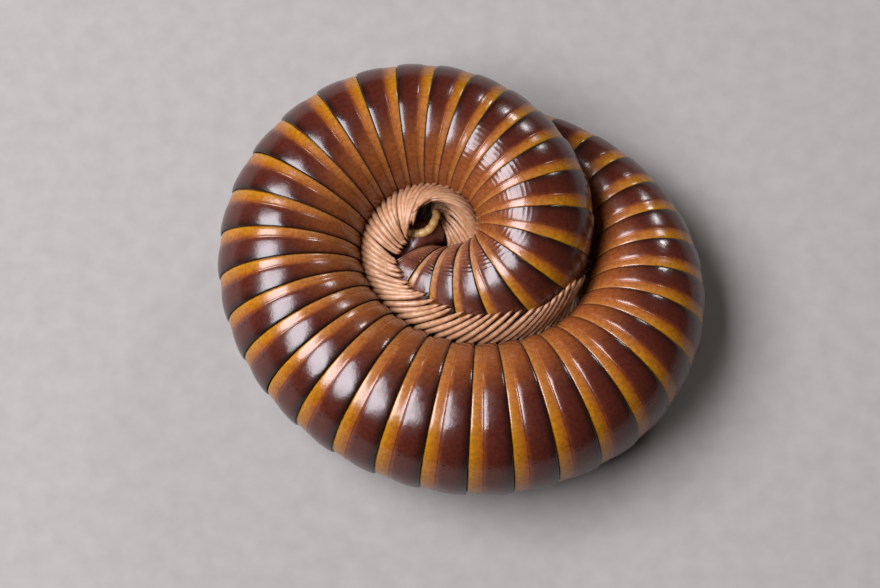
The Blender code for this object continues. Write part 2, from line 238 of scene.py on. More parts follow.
def linear(code):
    """Linear colour with alpha of an sRGB hex code, by the sRGB curve."""
    channels = [int(code[place:place + 2], 16) / 255.0 for place in (1, 3, 5)]
    return tuple(c / 12.92 if c <= 0.04045 else ((c + 0.055) / 1.055) ** 2.4 for c in channels) + (1.0,)


def add_node(tree, kind, settings=None, inputs=None, stops=()):
    """Adds a node with its settings, its input values or links, and the stops of a colour ramp."""
    node = tree.nodes.new("ShaderNode" + kind)
    for key, value in (settings or {}).items():
        setattr(node, key, value)
    for key, value in (inputs or {}).items():
        if isinstance(value, bpy.types.NodeSocket):
            tree.links.new(value, node.inputs[key])
        else:
            node.inputs[key].default_value = value
    for number, (place, code) in enumerate(stops):
        stop = node.color_ramp.elements[number] if number < 2 else node.color_ramp.elements.new(place)
        stop.position = place
        stop.color = linear(code)
    return node


def new_material(name):
    """New node material, its tree and its Principled shader."""
    material = bpy.data.materials.new(name)
    material.use_nodes = True
    return material, material.node_tree, material.node_tree.nodes["Principled BSDF"]


# Waxed chitin, self-coloured: amber where thin, dark maroon where thick, with a glassy skin over fine
# leathery wrinkles. It gives the eye a clear window-like highlight that breaks up a little at its edges.
# Its colour also holds painted shade under each lip and in the grooves, and a painted pale sheen on the
# first rings and the collum.
# Sizes are in mm. The real wrinkles are too fine to show in a render, so they are drawn coarser.
CLOUD_SIZE = 1.6
WRINKLE_SIZE = 0.35
WRINKLE_DEPTH = 0.025
# Colour borders stray along the ring by this share of it, and stand further on where the painted pale sheen
# lies
BORDER_STRAY = 0.09
SHEEN_COLLAR_SHIFT = 0.08
# The flank's colours take over between these shares of half a turn, sooner on the collar
FLANK_FROM = 0.48
FLANK_TO = 0.76
COLLAR_SOONER = 0.15

chitin, tree, shader = new_material("waxy_maroon_chitin")
place = add_node(tree, "Attribute", {"attribute_name": "ring_place"}).outputs["Fac"]
turn = add_node(tree, "Attribute", {"attribute_name": "round_turn"}).outputs["Fac"]
spot = add_node(tree, "TexCoord").outputs["Object"]
cloud = add_node(tree, "TexNoise", None, {"Vector": spot, "Scale": 1 / MM / CLOUD_SIZE,
                                          "Detail": 3.0}).outputs["Fac"]
shift = add_node(tree, "Math", {"operation": "MULTIPLY_ADD"},
                 {0: cloud, 1: BORDER_STRAY, 2: -0.5 * BORDER_STRAY}).outputs[0]
ring = add_node(tree, "Math", {"operation": "ADD"}, {0: place, 1: shift}).outputs[0]
# Share of the painted pale sheen, which also moves the colour borders on
sheen_and_shift = add_node(tree, "Attribute", {"attribute_name": "sheen_and_collar_shift"}).outputs["Fac"]
ring = add_node(tree, "Math", {"operation": "MULTIPLY_ADD"}, {0: sheen_and_shift, 1: SHEEN_COLLAR_SHIFT, 2: ring}).outputs[0]
# Painted shade: this ramp, the flank's and the sheen's all start and end near black-brown, in the step where
# a collar runs under the lip of the ring before
back = add_node(tree, "ValToRGB", None, {"Fac": ring}, stops=(
    (0.0, "#3a1a08"), (1.0, "#180805"), (0.03, "#ac7513"), (0.2, "#9f620e"), (0.30, "#8b4c14"),
    (0.365, "#663018"), (0.44, "#4f2015"), (0.80, "#431910"), (0.93, "#2c0f09")))
flank = add_node(tree, "ValToRGB", None, {"Fac": ring}, stops=(
    (0.0, "#3a1c0e"), (1.0, "#2a120a"), (0.03, "#a66c36"), (0.2, "#9a5c2a"), (0.40, "#8e5026"),
    (0.85, "#7f4421"), (0.95, "#62321c")))
early = add_node(tree, "MapRange", None, {"Value": ring, "From Min": 0.45, "From Max": 0.28,
                                          "To Min": 0.0, "To Max": COLLAR_SOONER}).outputs[0]
reach = add_node(tree, "Math", {"operation": "ADD"}, {0: turn, 1: early}).outputs[0]
low = add_node(tree, "MapRange", {"interpolation_type": "SMOOTHSTEP"},
               {"Value": reach, "From Min": FLANK_FROM, "From Max": FLANK_TO}).outputs[0]
colour = add_node(tree, "Mix", {"data_type": "RGBA"},
                  {0: low, 6: back.outputs[0], 7: flank.outputs[0]}).outputs[2]
# Painted sheen: the first rings and the collum are mixed toward pale pinkish tan, most on the flanks
sheen_colour = add_node(tree, "ValToRGB", None, {"Fac": ring}, stops=(
    (0.0, "#3a1c0e"), (1.0, "#2a120a"), (0.05, "#b89470"), (0.34, "#ac8460"), (0.44, "#a27058"),
    (0.90, "#8e5c48"))).outputs[0]
sheen_mix = add_node(tree, "Math", {"operation": "MULTIPLY_ADD"}, {0: low, 1: 0.7, 2: 0.15}).outputs[0]
sheen_mix = add_node(tree, "Math", {"operation": "MULTIPLY"}, {0: sheen_mix, 1: sheen_and_shift}).outputs[0]
colour = add_node(tree, "Mix", {"data_type": "RGBA"}, {0: sheen_mix, 6: colour, 7: sheen_colour}).outputs[2]
grain = add_node(tree, "TexNoise", None, {"Vector": spot, "Scale": 1 / MM / WRINKLE_SIZE,
                                          "Detail": 4.0}).outputs["Fac"]
shade = add_node(tree, "ValToRGB", None, {"Fac": grain},
                 stops=((0.3, "#cfc8c4"), (0.7, "#ffffff"))).outputs[0]
colour = add_node(tree, "Mix", {"data_type": "RGBA", "blend_type": "MULTIPLY"},
                  {0: 1.0, 6: colour, 7: shade}).outputs[2]
# Painted shade: the grooves, the collum's furrows and the telson's seam are darkened toward dark brown
stria_shade = add_node(tree, "Attribute", {"attribute_name": "stria_shade"}).outputs["Fac"]
painted_groove_shade = add_node(tree, "Math", {"operation": "MULTIPLY"}, {0: stria_shade, 1: 0.85}).outputs[0]
colour = add_node(tree, "Mix", {"data_type": "RGBA"}, {0: painted_groove_shade, 6: colour, 7: linear("#33140d")}).outputs[2]
round_way = add_node(tree, "Math", {"operation": "MULTIPLY"}, {0: turn, 1: math.pi * FULL_GIRTH}).outputs[0]
back_way = add_node(tree, "Math", {"operation": "MULTIPLY"}, {0: place, 1: RING_LENGTH}).outputs[0]
unrolled = add_node(tree, "CombineXYZ", None, {"X": round_way, "Y": back_way}).outputs[0]
pore_middle = (math.radians(PORE_TURN) * FULL_GIRTH, PORE_PLACE * RING_LENGTH, 0.0)
from_pore = add_node(tree, "VectorMath", {"operation": "DISTANCE"},
                     {0: unrolled, 1: pore_middle}).outputs["Value"]
pore = add_node(tree, "MapRange", {"interpolation_type": "SMOOTHSTEP"},
                {"Value": from_pore, "From Min": 1.4 * PORE_RADIUS,
                 "From Max": 0.6 * PORE_RADIUS}).outputs[0]
colour = add_node(tree, "Mix", {"data_type": "RGBA"}, {0: pore, 6: colour, 7: linear("#2a0d0a")}).outputs[2]
tree.links.new(colour, shader.inputs["Base Color"])
gloss = add_node(tree, "MapRange", None, {"Value": cloud, "From Min": 0.3, "From Max": 0.7,
                                          "To Min": 0.16, "To Max": 0.28}).outputs[0]
tree.links.new(gloss, shader.inputs["Roughness"])
pits = add_node(tree, "Math", {"operation": "MULTIPLY_ADD"}, {0: pore, 1: -2.0, 2: grain}).outputs[0]
relief = add_node(tree, "Bump", None, {"Height": pits, "Distance": WRINKLE_DEPTH * MM,
                                       "Strength": 0.5}).outputs[0]
tree.links.new(relief, shader.inputs["Normal"])
shader.inputs["IOR"].default_value = 1.54


def round_turns(striae, radius):
    """Turns round the body, their shares of half a turn, and marks that give each groove's strength.

    Even turns cover the back and the belly; between them every groove has a column on each bank.
    """
    first, last, spacing, _, depth_and_shade = striae
    step = math.degrees(spacing / radius)
    middles = np.arange(first, last, step)
    grooves = (middles[:, None] + np.array([-STRIA_BANK, 0.0, STRIA_BANK]) * step).ravel()
    strengths = np.random.default_rng(STRIA_SEED).uniform(STRIA_FAINTEST, 1.0, len(middles))
    marks = (strengths[:, None] * (0.0, depth_and_shade, 0.0)).ravel()
    back = np.linspace(BACK_MARGIN - first, first - BACK_MARGIN, BACK_COLUMNS)
    belly = np.linspace(last + BELLY_MARGIN, 360.0 - BELLY_MARGIN - last, BELLY_COLUMNS)
    turns = np.concatenate([back, grooves, belly, 360.0 - grooves[::-1]])
    marks = np.concatenate([np.zeros(BACK_COLUMNS), marks, np.zeros(BELLY_COLUMNS), marks])
    return np.radians(turns), np.abs((turns + 180.0) % 360.0 - 180.0) / 180.0, marks


def ring_rows(first, last, profile):
    """Counts, places and heights of a row of rings: the profile repeated, heights scaled to the girth."""
    places, heights = np.array(profile).T
    counts = (np.arange(first, last)[:, None] + places).ravel()
    scale = along(RADII, counts) / FULL_GIRTH
    return counts, np.tile(places, last - first), np.tile(heights, last - first) * scale


def trunk_surface(name, first, last, striae):
    """One length of rings, grooved on the flanks: grooves deepen down the flank and toward the lip."""
    counts, places, heights = ring_rows(first, last, RING_PROFILE)
    tilt = np.interp(counts, TILT_RINGS, TILT_RISES) * (places - TILT_PIVOT) * (places > PLATE_START)
    turns, share, marks = round_turns(striae, float(along(RADII, 0.5 * (first + last))))
    first_groove, _, _, depth, _ = striae
    behind = np.clip((places - STRIA_START) / STRIA_RUN_IN, 0.0, 1.0) * (places < STRIA_STOP)
    below = np.clip((share * 180.0 - first_groove + STRIA_LEAD) / STRIA_FADE, STRIA_LEAST, 1.0)
    # Strength of each groove, which also sets the painted shade in it
    stria_shade = (behind * np.interp(counts, STRIA_RINGS, STRIA_STRENGTHS))[:, None] * below * marks
    surface = body_surface(counts, turns, (heights + tilt)[:, None] - depth * stria_shade)
    # Share of the painted pale sheen on the first rings
    sheen_and_shift = np.interp(counts, SHEEN_RINGS, SHEEN_SHARES)
    return closed_surface(name, [surface], {
        "ring_place": places[:, None], "sheen_and_collar_shift": sheen_and_shift[:, None], "round_turn": share[None], "stria_shade": stria_shade})


for number, (first, last) in enumerate(zip(TRUNK_CUTS[:-1], TRUNK_CUTS[1:]), start=1):
    rings = trunk_surface(f"rings_{number:02d}", first, last, FRONT_STRIAE if number == 1 else BACK_STRIAE)
    rings.data.materials.append(chitin)
    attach(rings, "root")
    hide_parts(f"trunk_{number:02d}")


# Collum
# The collum is the first, legless shield behind the head: one smooth plate of the same waxy chitin, with a
# rounded front rim, slanting furrows on each lower flank and a proud hind lip.

COLLUM_PROFILE = ((0.02, -0.9), (0.0, -0.6), (0.0, -0.42), (0.01, -0.3), (0.028, -0.24), (0.05, -0.23),
                  (0.072, -0.27), (0.09, -0.36), (0.11, -0.39), (0.135, -0.35), (0.17, -0.3), (0.25, -0.22),
                  (0.35, -0.14), (0.5, -0.04), (0.65, 0.06), (0.8, 0.12), (0.88, 0.14), (0.93, 0.16),
                  (0.96, 0.17), (0.985, 0.15), (0.997, 0.1), (0.999, 0.0), (0.985, -0.2), (0.985, -0.32))
COLLUM_COLUMNS = 240
# Furrows in degrees from the back, with half width and drift along the shield, and depth in mm
FURROW_TURNS = (92.0, 98.0, 104.0, 110.0, 116.0, 122.0, 128.0, 134.0, 140.0)
FURROW_WIDTH = 1.7
FURROW_DRIFT = 14.0
FURROW_DEPTH = 0.12
FURROW_START = 0.2
FURROW_RUN_IN = 0.2
# Places on the shield, and the places along a ring whose colours they take
COLLUM_PLACES = (0.0, 0.5, 0.8, 1.0)
COLLUM_COLOUR_PLACES = (0.33, 0.37, 0.6, 0.95)


def even_turns(columns):
    """Turns all the way round in even steps, from minus half a turn, and their shares of half a turn."""
    turns = np.radians(np.arange(columns) * 360.0 / columns - 180.0)
    return turns, np.abs(turns) / math.pi


counts, places, heights = ring_rows(0, 1, COLLUM_PROFILE)
collum_turns, collum_share = even_turns(COLLUM_COLUMNS)
drift = FURROW_DRIFT * (places[:, None] - 0.5)
furrow = sum(np.exp(-((collum_share * 180.0 - middle - drift) / FURROW_WIDTH) ** 2)
             for middle in FURROW_TURNS)
furrow = furrow * np.clip((places[:, None] - FURROW_START) / FURROW_RUN_IN, 0.0, 1.0)
furrow = furrow * (places[:, None] < STRIA_STOP)
colour_place = np.interp(places, COLLUM_PLACES, COLLUM_COLOUR_PLACES)
collum_grid = body_surface(counts, collum_turns, heights[:, None] - FURROW_DEPTH * furrow)
# The collum takes the painted pale sheen in full; its furrows take the painted groove shade
collum = closed_surface("collum_shield", [collum_grid], {
    "ring_place": colour_place[:, None], "sheen_and_collar_shift": 1.0, "round_turn": collum_share[None],
    "stria_shade": np.clip(furrow, 0.0, 1.0)})
collum.data.materials.append(chitin)
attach(collum, "root")
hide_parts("collum")


# Head
# The head is a smooth domed capsule of dark glossy chitin that leans toward the belly, with a fine middle
# seam, a line round each cheek, a socket for each feeler and a paler lip in front.

HEAD_START = -0.12
HEAD_LENGTH = 3.1
HEAD_LEAN = 3.0
HEAD_LEAN_AT_NECK = 0.6
HEAD_RADIUS_BACK = 3.0
HEAD_WIDTH = 3.6
HEAD_WIDEST = 0.3
HEAD_FULLNESS = 2.4
HEAD_SQUARENESS = 0.93
HEAD_ROWS = 40
HEAD_ROW_CROWDING = 1.6
HEAD_LAST_ROW = 0.9985
HEAD_COLUMNS = 96
# Relief of the head: half widths in degrees round it or in shares of its length, and depths in mm
SEAM_WIDTH = 4.0
SEAM_DEPTH = 0.05
CHEEK_TURN = 104.0
CHEEK_DRIFT = 40.0
CHEEK_WIDTH = 4.0
CHEEK_DEPTH = 0.12
SOCKET_TURN = 72.0
SOCKET_WIDTH = 9.0
SOCKET_SHARE = 0.62
SOCKET_LENGTH = 0.07
SOCKET_DEPTH = 0.3
LIP_SHARE = 0.9
LIP_WIDTH = 0.025
LIP_DEPTH = 0.08


def head_lean(share):
    """Lean of the head toward the belly in mm: a share of it at the neck, evenly to all of it in front."""
    return HEAD_LEAN * (HEAD_LEAN_AT_NECK + (1.0 - HEAD_LEAN_AT_NECK) * share)


def head_middle(share):
    """Middles of the head at shares of its length: rows lean toward the belly as they go forward."""
    middle, backward, outward, _, _, _ = body_frame(HEAD_START)
    return middle - backward * (HEAD_LENGTH * share)[..., None] - outward * head_lean(share)[..., None]


def head_size(shares):
    """Size of the head's rows: (1 - |(share - widest) / (1 - widest)|^n)^(1/2)."""
    away = np.abs((shares - HEAD_WIDEST) / (1.0 - HEAD_WIDEST))
    return np.sqrt(np.clip(1.0 - away ** HEAD_FULLNESS, 0.0, 1.0))


def head_surface(shares, turns):
    """Points of the head: rows x = |cos|^q and y = |sin|^q, a little square, with grooves in relief.

    Each groove sinks by its depth times exp(-(distance / half width)^2): the middle seam, the line round
    the cheek, the feeler's socket and the line of the lip.
    """
    _, _, outward, sideways, _, _ = body_frame(HEAD_START)
    size = head_size(shares)[:, None]
    side = np.abs(np.degrees(turns))[None]
    row = shares[:, None]
    seam = np.exp(-(side / SEAM_WIDTH) ** 2) * SEAM_DEPTH
    cheek_line = np.exp(-((side - CHEEK_TURN - CHEEK_DRIFT * row) / CHEEK_WIDTH) ** 2) * CHEEK_DEPTH
    from_socket = ((side - SOCKET_TURN) / SOCKET_WIDTH) ** 2 + ((row - SOCKET_SHARE) / SOCKET_LENGTH) ** 2
    socket = np.exp(-from_socket) * SOCKET_DEPTH
    lip_line = np.exp(-((row - LIP_SHARE) / LIP_WIDTH) ** 2) * LIP_DEPTH
    relief = 1.0 - (seam + cheek_line + socket + lip_line) / HEAD_WIDTH
    cosine, sine = np.cos(turns), np.sin(turns)
    back = np.sign(cosine) * np.abs(cosine) ** HEAD_SQUARENESS * HEAD_RADIUS_BACK * size * relief
    wide = np.sign(sine) * np.abs(sine) ** HEAD_SQUARENESS * HEAD_WIDTH * size * relief
    return head_middle(shares)[:, None] + back[..., None] * outward + wide[..., None] * sideways


# Polished chitin of the head: smooth and evenly dark, paler on the lip. Its pits are too fine to show and
# are drawn coarser, 0.2 mm apart.
HEAD_CLOUD_SIZE = 0.8
PIT_SIZE = 0.2
PIT_DEPTH = 0.012

head_chitin, tree, shader = new_material("polished_head_chitin")
spot = add_node(tree, "TexCoord").outputs["Object"]
forward = add_node(tree, "Attribute", {"attribute_name": "head_share"}).outputs["Fac"]
cloud = add_node(tree, "TexNoise", None, {"Vector": spot, "Scale": 1 / MM / HEAD_CLOUD_SIZE,
                                          "Detail": 3.0}).outputs["Fac"]
shift = add_node(tree, "Math", {"operation": "MULTIPLY_ADD"}, {0: cloud, 1: 0.2, 2: -0.1}).outputs[0]
row = add_node(tree, "Math", {"operation": "ADD"}, {0: forward, 1: shift}).outputs[0]
colour = add_node(tree, "ValToRGB", None, {"Fac": row}, stops=(
    (0.0, "#4a1f17"), (1.0, "#a8683c"), (0.35, "#5a2a1e"), (0.7, "#52261b"), (0.88, "#7d4428"))).outputs[0]
tree.links.new(colour, shader.inputs["Base Color"])
grain = add_node(tree, "TexNoise", None, {"Vector": spot, "Scale": 1 / MM / PIT_SIZE,
                                          "Detail": 3.0}).outputs["Fac"]
relief = add_node(tree, "Bump", None, {"Height": grain, "Distance": PIT_DEPTH * MM,
                                       "Strength": 0.5}).outputs[0]
tree.links.new(relief, shader.inputs["Normal"])
shader.inputs["Roughness"].default_value = 0.32
shader.inputs["IOR"].default_value = 1.6

head_shares = 1.0 - (1.0 - np.linspace(0.0, 1.0, HEAD_ROWS)) ** HEAD_ROW_CROWDING
head_shares[-1] = HEAD_LAST_ROW
head_turns, _ = even_turns(HEAD_COLUMNS)
head = closed_surface("head_capsule", [head_surface(head_shares, head_turns)],
                      {"head_share": head_shares[:, None]})
head.data.materials.append(head_chitin)
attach(head, "root")
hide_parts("head")


# Eyes
# Each eye is a three-cornered patch of small black lens beads, set in rows on the side of the head between
# the collum and the root of the feeler.

# Place of the eye's middle ahead of the neck and outward, radius and spacing of the beads, all in mm
EYE_PLACE = (0.5, -0.6)
BEAD_RADIUS = 0.062
BEAD_SPACING = 0.1215
# The patch is a triangle of rows that lose a bead each, and its middle bead
EYE_ROWS = 6
EYE_COLUMNS = 8
EYE_MIDDLE = (3.0, 2.0)
# Beads look away from this place inside the head
EYE_ROOT_SHARE = 0.4
BEAD_COLUMNS = 6
BEAD_RISES = (-80.0, -30.0, 10.0, 45.0, 78.0)


def head_side(ahead, out, side):
    """Points on the side of the head, at distances ahead of the neck and outward of the middle line.

    The outward part gives |cos| of the row by undoing the power q, and |sin|^q gives how far out they stand.
    """
    middle, backward, outward, sideways, _, _ = body_frame(HEAD_START)
    share = ahead / HEAD_LENGTH
    part = np.abs((out + head_lean(share)) / (HEAD_RADIUS_BACK * head_size(share)))
    cosine = part ** (1.0 / HEAD_SQUARENESS)
    wide = np.sqrt(np.clip(1.0 - cosine ** 2, 0.0, 1.0)) ** HEAD_SQUARENESS
    wide = HEAD_WIDTH * head_size(share) * wide * side
    return middle - ahead[..., None] * backward + out[..., None] * outward + wide[..., None] * sideways


def bead(middle, up, radius):
    """Rows of a round bead about a middle: circles of radius cos(rise) at heights sin(rise) along up."""
    across = unit(np.cross(up, (0.3, 0.5, 0.1)))
    over = np.cross(up, across)
    rise = np.radians(BEAD_RISES)
    turns = np.radians(np.arange(BEAD_COLUMNS) * 360.0 / BEAD_COLUMNS)
    ring = np.cos(turns)[:, None] * across + np.sin(turns)[:, None] * over
    return middle + radius * (np.cos(rise)[:, None, None] * ring + np.sin(rise)[:, None, None] * up)


# Lens chitin: clear, black beneath, very smooth
LENS_CLOUD_SIZE = 0.15

lens, tree, shader = new_material("black_lens_chitin")
spot = add_node(tree, "TexCoord").outputs["Object"]
cloud = add_node(tree, "TexNoise", None, {"Vector": spot, "Scale": 1 / MM / LENS_CLOUD_SIZE}).outputs["Fac"]
colour = add_node(tree, "ValToRGB", None, {"Fac": cloud},
                  stops=((0.3, "#0d0b0c"), (0.7, "#231a18"))).outputs[0]
tree.links.new(colour, shader.inputs["Base Color"])
shader.inputs["Roughness"].default_value = 0.1
shader.inputs["Coat Weight"].default_value = 0.5

for eye_name, side in (("eye_right", 1), ("eye_left", -1)):
    rows, columns = np.meshgrid(np.arange(EYE_ROWS), np.arange(EYE_COLUMNS))
    inside = columns < EYE_COLUMNS - rows
    ahead = EYE_PLACE[0] + (columns[inside] - EYE_MIDDLE[0] + 0.5 * rows[inside]) * BEAD_SPACING
    out = EYE_PLACE[1] + (rows[inside] - EYE_MIDDLE[1]) * BEAD_SPACING
    places = head_side(ahead, out, side)
    ups = unit(places - head_middle(np.array([EYE_ROOT_SHARE]))[0])
    beads = [bead(at, up, BEAD_RADIUS) for at, up in zip(places, ups)]
    eye = closed_surface(eye_name, beads)
    eye.data.materials.append(lens)
    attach(eye, "root")


# Feelers
# Each feeler is a chain of seven short joints of satin yellowish chitin, nearly even in width, that roots in
# a socket of the head. It is folded in beside the mouth and curled toward the legs.

# Points along the feeler: mm ahead of the neck, outward and to its side; then its widths there in mm
FEELER_PATH = ((2.0, -1.2, 2.7), (1.65, -1.45, 3.2), (1.15, -2.1, 3.6), (1.0, -2.8, 3.75), (1.2, -3.5, 3.8),
               (1.7, -4.1, 3.75), (2.2, -4.5, 3.7), (2.8, -4.4, 3.6))
FEELER_WIDTHS = (0.6, 0.8, 0.86, 0.88, 0.86, 0.84, 0.8, 0.55)
FEELER_JOINTS = 7
FEELER_PINCH = 0.16
FEELER_JOINT_MARK = 0.14
FEELER_END = (0.8, 0.55, 0.2)
FEELER_ROWS = 64
FEELER_SIDES = 16
# A joint swells along this share of a half wave, from a little after its start
SWELL_SHARE = 0.86
SWELL_START = 0.02


def smooth_path(points, shares):
    """Points read from a Catmull-Rom curve through a short list, at shares of its length."""
    points = np.asarray(points, float)
    guide = np.concatenate([[2 * points[0] - points[1]], points, [2 * points[-1] - points[-2]]])
    place = np.asarray(shares) * (len(points) - 1)
    first = np.clip(np.floor(place).astype(int), 0, len(points) - 2)
    t = (place - first)[:, None]
    a, b, c, d = (guide[first + step] for step in range(4))
    return 0.5 * (2 * b + (c - a) * t + (2 * a - 5 * b + 4 * c - d) * t ** 2
                  + (3 * b - a - 3 * c + d) * t ** 3)


def tube_rows(path, radii, sides):
    """Rows of a round tube along a path: circles square to it, carried on without twist."""
    ways = unit(np.gradient(path, axis=0))
    across = unit(np.cross(ways[0], (0.13, 0.21, 0.97)))
    turns = np.radians(np.arange(sides) * 360.0 / sides)
    rows = []
    for place, way, radius in zip(path, ways, radii):
        across = unit(across - way * (across @ way))
        over = np.cross(across, way)
        rows.append(place + radius * (np.cos(turns)[:, None] * across + np.sin(turns)[:, None] * over))
    return np.array(rows)


def jointed(shares, joints, pinch):
    """Width factor of a jointed limb, 1 - pinch * (1 - sin(pi s)^(1/2)), where s runs along each joint."""
    inside = (shares * joints) % 1.0
    return 1.0 - pinch * (1.0 - np.sin(np.pi * (inside * SWELL_SHARE + SWELL_START)) ** 0.5)


def joint_marks(shares, joints, half_width):
    """Marks along a limb: one at every joint, falling straight to zero half a width away."""
    return np.clip(1.0 - np.abs(((shares * joints + 0.5) % 1.0) - 0.5) / half_width, 0.0, 1.0)


# Satin limb chitin, a little translucent, so that light bleeds softly through the limbs' edges. Its fine
# wrinkles are drawn coarser than they are, 0.5 mm apart, to show at all.
LIMB_GRAIN_SIZE = 0.5
LIMB_GRAIN_DEPTH = 0.01
# Distances that red, green and blue light travel in it, in mm
LIMB_BLEED = (0.6, 0.3, 0.15)


def limb_chitin(name, stops, joint_code):
    """Limb chitin of a name: coloured along the limb by stops, and by another colour at every joint."""
    material, tree, shader = new_material(name)
    spot = add_node(tree, "TexCoord").outputs["Object"]
    share = add_node(tree, "Attribute", {"attribute_name": "limb_share"}).outputs["Fac"]
    joint = add_node(tree, "Attribute", {"attribute_name": "joint"}).outputs["Fac"]
    base = add_node(tree, "ValToRGB", None, {"Fac": share}, stops=stops).outputs[0]
    grain = add_node(tree, "TexNoise", None, {"Vector": spot, "Scale": 1 / MM / LIMB_GRAIN_SIZE,
                                              "Detail": 3.0}).outputs["Fac"]
    shade = add_node(tree, "ValToRGB", None, {"Fac": grain},
                     stops=((0.3, "#d8c8b8"), (0.7, "#ffffff"))).outputs[0]
    base = add_node(tree, "Mix", {"data_type": "RGBA", "blend_type": "MULTIPLY"},
                    {0: 1.0, 6: base, 7: shade}).outputs[2]
    colour = add_node(tree, "Mix", {"data_type": "RGBA"},
                      {0: joint, 6: base, 7: linear(joint_code)}).outputs[2]
    tree.links.new(colour, shader.inputs["Base Color"])
    relief = add_node(tree, "Bump", None, {"Height": grain, "Distance": LIMB_GRAIN_DEPTH * MM,
                                           "Strength": 0.5}).outputs[0]
    tree.links.new(relief, shader.inputs["Normal"])
    shader.inputs["Roughness"].default_value = 0.36
    shader.inputs["Subsurface Weight"].default_value = 0.25
    shader.inputs["Subsurface Radius"].default_value = [distance * MM for distance in LIMB_BLEED]
    return material


# Straw-coloured satin chitin of the feelers
feeler_chitin = limb_chitin("satin_straw_chitin", (
    (0.0, "#a8783c"), (1.0, "#9a6a38"), (0.3, "#c8a468"), (0.7, "#ccaa70")), "#a87c44")

for feeler_name, side in (("feeler_right", 1), ("feeler_left", -1)):
    middle, backward, outward, sideways, _, _ = body_frame(HEAD_START)
    path = [middle - backward * ahead + outward * out + sideways * side * up
            for ahead, out, up in FEELER_PATH]
    shares = np.linspace(0.0, 1.0, FEELER_ROWS)
    widths = np.interp(shares * (len(FEELER_WIDTHS) - 1), np.arange(len(FEELER_WIDTHS)), FEELER_WIDTHS)
    radii = 0.5 * widths * jointed(shares, FEELER_JOINTS, FEELER_PINCH)
    radii[-len(FEELER_END):] *= FEELER_END
    rows = tube_rows(smooth_path(path, shares), radii, FEELER_SIDES)
    marks = joint_marks(shares, FEELER_JOINTS, FEELER_JOINT_MARK)
    feeler = closed_surface(feeler_name + "_chain", [rows], {
        "limb_share": 0.3 + 0.5 * shares[:, None], "joint": 0.8 * marks[:, None]})
    feeler.data.materials.append(feeler_chitin)
    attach(feeler, "root")
    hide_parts(feeler_name)


# Legs
# Slender tan legs grow in pairs from the belly of each ring, one pair on the first rings and two on the
# others, each of six joints and a claw. They are folded close together, swept back along the body, and lie
# on the turn of the coil inside them.

# Places of the roots along a ring, the first ring with two pairs, and the count where even steps end
FIRST_DOUBLE_RING = 4
ROOTS_DOUBLE = (0.28, 0.76)
ROOT_SINGLE = 0.5
LEG_EVEN_END = 9.0
EDGE_READINGS = 400
# Turn of the roots from the belly line in degrees, and lengths inside and outside the belly in mm
LEG_SPREAD = 6.0
LEG_ROOT_DEPTH = 0.7
LEG_STEM = 0.15
# Lengths as shares of the body's radius, shorter under the body; width in mm, thinner on a thin body
LEG_LENGTH_PER_GIRTH = 0.85
LEG_LENGTH_UNDERNEATH = 0.7
LEG_WIDTH = 0.68
LEG_THINNEST = 0.4
LEG_TAPER = 0.55
LEG_TIP = 0.12
LEG_JOINTS = 6
LEG_PINCH = 0.2
LEG_JOINT_MARK = 0.2
LEG_SIDES = 8
LEG_ROWS = 14
LEG_STEPS = 6
LEG_CLEARANCE = 0.35
# A leg rises at its root and dips toward its tip, by slopes that are read at angles of the coil
LEG_RISE = 1.0
LEG_DIP_ANGLES = (440.0, 480.0, 540.0, 590.0)
LEG_DIPS = (-0.3, -1.0, -1.0, -0.3)
# How much a leg strays by chance: degrees of sweep, slope, share of its length
LEG_STRAY_TURN = 1.6
LEG_STRAY_RISE = 0.06
LEG_STRAY_LENGTH = 0.03
LEG_SEED = 7
# Pushing a leg clear: tries, upward share of the way out, and the depth in mm that is let be
PUSHES = 20
LEG_LIFT_WAY = 2.5
PUSH_END = 0.01
# Sweep toward the tail and curl in degrees, and length shares, read at angles of the coil
SWEEP_ANGLES = (260.0, 300.0, 335.0, 360.0, 385.0, 408.0, 425.0, 445.0, 475.0, 505.0,
                545.0, 590.0, 640.0, 680.0, 720.0)
SWEEP_TURNS = (-42.0, -42.0, -12.0, 6.0, 26.0, 40.0, 24.0, 12.0, 12.0, 9.0,
               34.0, 46.0, 52.0, 60.0, 64.0)
CURL_ANGLES = (300.0, 335.0, 385.0, 410.0, 430.0, 460.0)
CURL_TURNS = (40.0, 60.0, 60.0, 50.0, 40.0, 30.0)
LENGTH_ANGLES = (240.0, 275.0, 300.0, 345.0, 380.0, 405.0, 425.0, 445.0, 462.0, 476.0, 500.0, 530.0, 570.0)
LENGTH_SHARES = (0.75, 1.0, 1.15, 1.15, 1.1, 1.02, 1.02, 1.12, 1.13, 1.03, 0.95, 0.9, 0.9)
# The legs of the tail are tucked under it: angles where that starts and is full, and turns in degrees
TUCKED_ANGLES = (675.0, 705.0)
TUCKED_SPREAD = 12.0
TUCKED_DROP = 15.0
# Balls that the legs keep out of: their radius in the head, their shares along it, and the tail's last one
HEAD_KEEP_OUT = 2.9
HEAD_BALLS = np.array([0.2, 0.4, 0.6, 0.8])
TELSON_LENGTH = 1.2

used = (RING_COUNTS > HEAD_START) & (RING_COUNTS < TRUNK_CUTS[-1] + TELSON_LENGTH)
flattening = 0.5 * np.maximum(RADII - BELLY_REACHES, 0.0)[used]
ball_middles = np.concatenate([head_middle(HEAD_BALLS), MIDDLES[used] + OUTWARD[used] * flattening[:, None]])
ball_radii = np.concatenate([np.full(len(HEAD_BALLS), HEAD_KEEP_OUT), RADII[used] - flattening])
ball_radii = ball_radii + LEG_CLEARANCE


